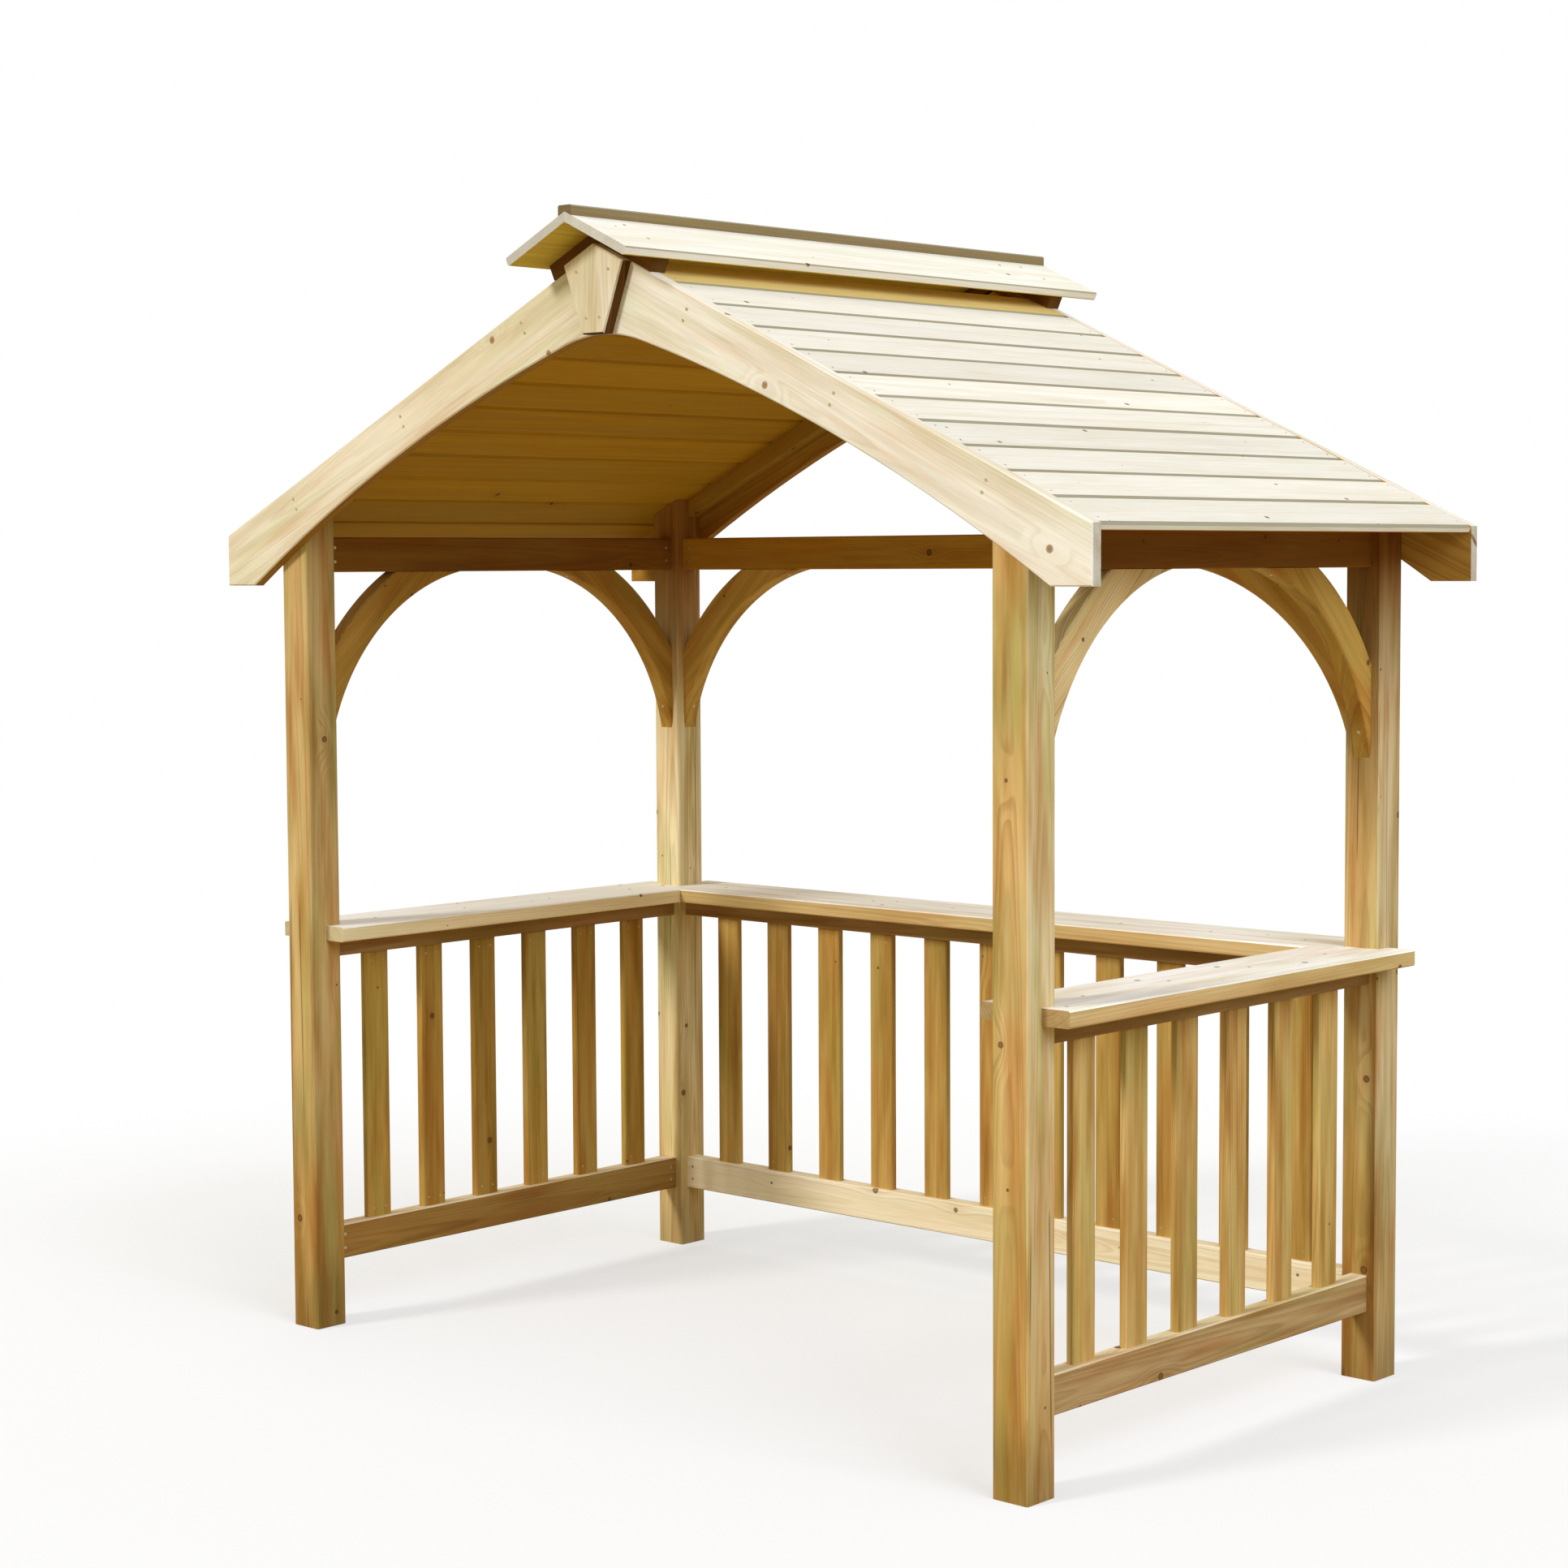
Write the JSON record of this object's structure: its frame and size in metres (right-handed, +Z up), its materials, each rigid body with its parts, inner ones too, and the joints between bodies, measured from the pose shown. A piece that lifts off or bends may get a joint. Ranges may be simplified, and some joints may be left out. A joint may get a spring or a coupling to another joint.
{
  "type": "barbecue shelter",
  "caption": "Open-fronted timber shelter for a barbecue, with arched barge boards, curved braces, slatted sides topped by shelves, and a raised ridge cap that vents smoke",
  "frame": {"origin": "on the ground, in the middle of the four posts", "axes": "+X to the right as seen from the open front, +Y from the open front to the back, +Z up"},
  "size_m": [2.666, 1.656, 2.6564],
  "materials": {
    "post_timber": "sawn and planed softwood, pressure treated",
    "barge_timber": "sawn and planed softwood, pressure treated",
    "rafter_timber": "sawn and planed softwood, pressure treated",
    "brace_timber": "sawn and planed softwood, pressure treated",
    "roof_timber": "sawn and planed softwood, pressure treated",
    "beam_timber": "sawn and planed softwood, pressure treated",
    "rail_timber": "sawn and planed softwood, pressure treated",
    "slat_timber": "sawn and planed softwood, pressure treated",
    "shelf_timber": "sawn and planed softwood, pressure treated"
  },
  "bodies": {
    "root": {"back_beam": "beam_timber", "back_bottom_rail": "rail_timber", "back_keystone": "barge_timber", "back_left_barge_board": "barge_timber", "back_left_brace": "brace_timber", "back_left_cap_saddle": "barge_timber", "back_left_post": "post_timber", "back_left_rafter": "rafter_timber", "back_right_barge_board": "barge_timber", "back_right_brace": "brace_timber", "back_right_cap_saddle": "barge_timber", "back_right_post": "post_timber", "back_right_rafter": "rafter_timber", "back_shelf": "shelf_timber", "back_slats": "slat_timber", "back_top_rail": "rail_timber", "front_keystone": "barge_timber", "front_left_barge_board": "barge_timber", "front_left_cap_saddle": "barge_timber", "front_left_post": "post_timber", "front_left_rafter": "rafter_timber", "front_right_barge_board": "barge_timber", "front_right_cap_saddle": "barge_timber", "front_right_post": "post_timber", "front_right_rafter": "rafter_timber", "left_back_brace": "brace_timber", "left_beam": "beam_timber", "left_bottom_rail": "rail_timber", "left_cap_board": "roof_timber", "left_front_brace": "brace_timber", "left_roof_boards": "roof_timber", "left_shelf": "shelf_timber", "left_slats": "slat_timber", "left_top_rail": "rail_timber", "ridge_strip": "roof_timber", "right_back_brace": "brace_timber", "right_beam": "beam_timber", "right_bottom_rail": "rail_timber", "right_cap_board": "roof_timber", "right_front_brace": "brace_timber", "right_roof_boards": "roof_timber", "right_shelf": "shelf_timber", "right_slats": "slat_timber", "right_top_rail": "rail_timber"}
  },
  "joints": []
}
